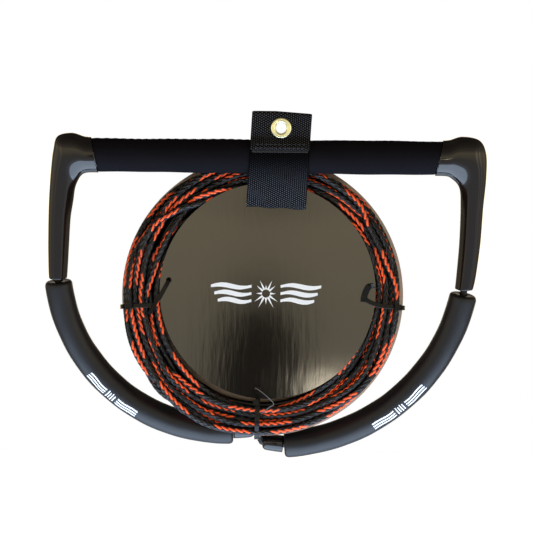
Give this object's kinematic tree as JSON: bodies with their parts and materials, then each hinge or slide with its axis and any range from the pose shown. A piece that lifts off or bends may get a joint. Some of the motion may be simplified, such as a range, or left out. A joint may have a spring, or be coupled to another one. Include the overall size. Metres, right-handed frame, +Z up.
{
  "type": "tow rope handle",
  "caption": "Packed tow rope handle: padded bar with moulded elbows and a floating bridle, a coiled braided rope between two round cards, cable ties and a webbing hang strap with an eyelet.",
  "frame": {"origin": "middle of the brass eyelet's hole in the hang strap, which the packed handle hangs from", "axes": "+X along the bar to the viewer's right, +Z up, -Y out of the front, where the front card faces"},
  "size_m": [0.3801, 0.085, 0.2987],
  "materials": {
    "bar": "satin",
    "grip": "matte brushed cloth over foam",
    "elbow": "gloss",
    "bridle": "braided polyethylene",
    "float": "matte foam",
    "sleeve": "gloss",
    "webbing": "woven polypropylene",
    "patch": "napped",
    "thread": "twisted thread",
    "brass": "polished",
    "card": "gloss laminated",
    "tie": "moulded nylon",
    "rope": "braided polyethylene"
  },
  "bodies": {
    "pack": {"strap_loop": "webbing", "hook_patch": "patch", "loop_patch": "patch", "strap_stitching": "thread", "eyelet": "brass", "eyelet_washer": "brass", "front_card": "card", "rear_card": "card", "tie_left": "tie", "tie_right": "tie", "tie_bottom": "tie", "rope_coil": "rope", "rope_lead": "rope", "rope_tail": "rope", "boat_loop": "rope", "boat_loop_sleeve": "sleeve"},
    "handle": {"bar_tube": "bar", "grip_sleeve": "grip", "left_elbow": "elbow", "right_elbow": "elbow", "bridle_rope": "bridle", "bridle_splice": "bridle", "left_end_sleeve": "sleeve", "right_end_sleeve": "sleeve"},
    "float_left": {"left_float": "float"},
    "float_right": {"right_float": "float"}
  },
  "joints": [
    {"name": "handle_swing", "type": "hinge", "parent": "pack", "child": "handle", "pos_m": [-0.012, 0.0096, -0.0245], "axis": [1, 0, 0], "range_deg": [0, 14]},
    {"name": "left_float_slide", "type": "hinge", "parent": "handle", "child": "float_left", "pos_m": [-0.045, 0.02988, -0.11751], "axis": [0, 0.977, 0.213], "range_deg": [0, 0.3]},
    {"name": "right_float_slide", "type": "hinge", "parent": "handle", "child": "float_right", "pos_m": [-0.0048, 0.0282, -0.1098], "axis": [0, -0.977, -0.213], "range_deg": [0, 0.8]}
  ]
}
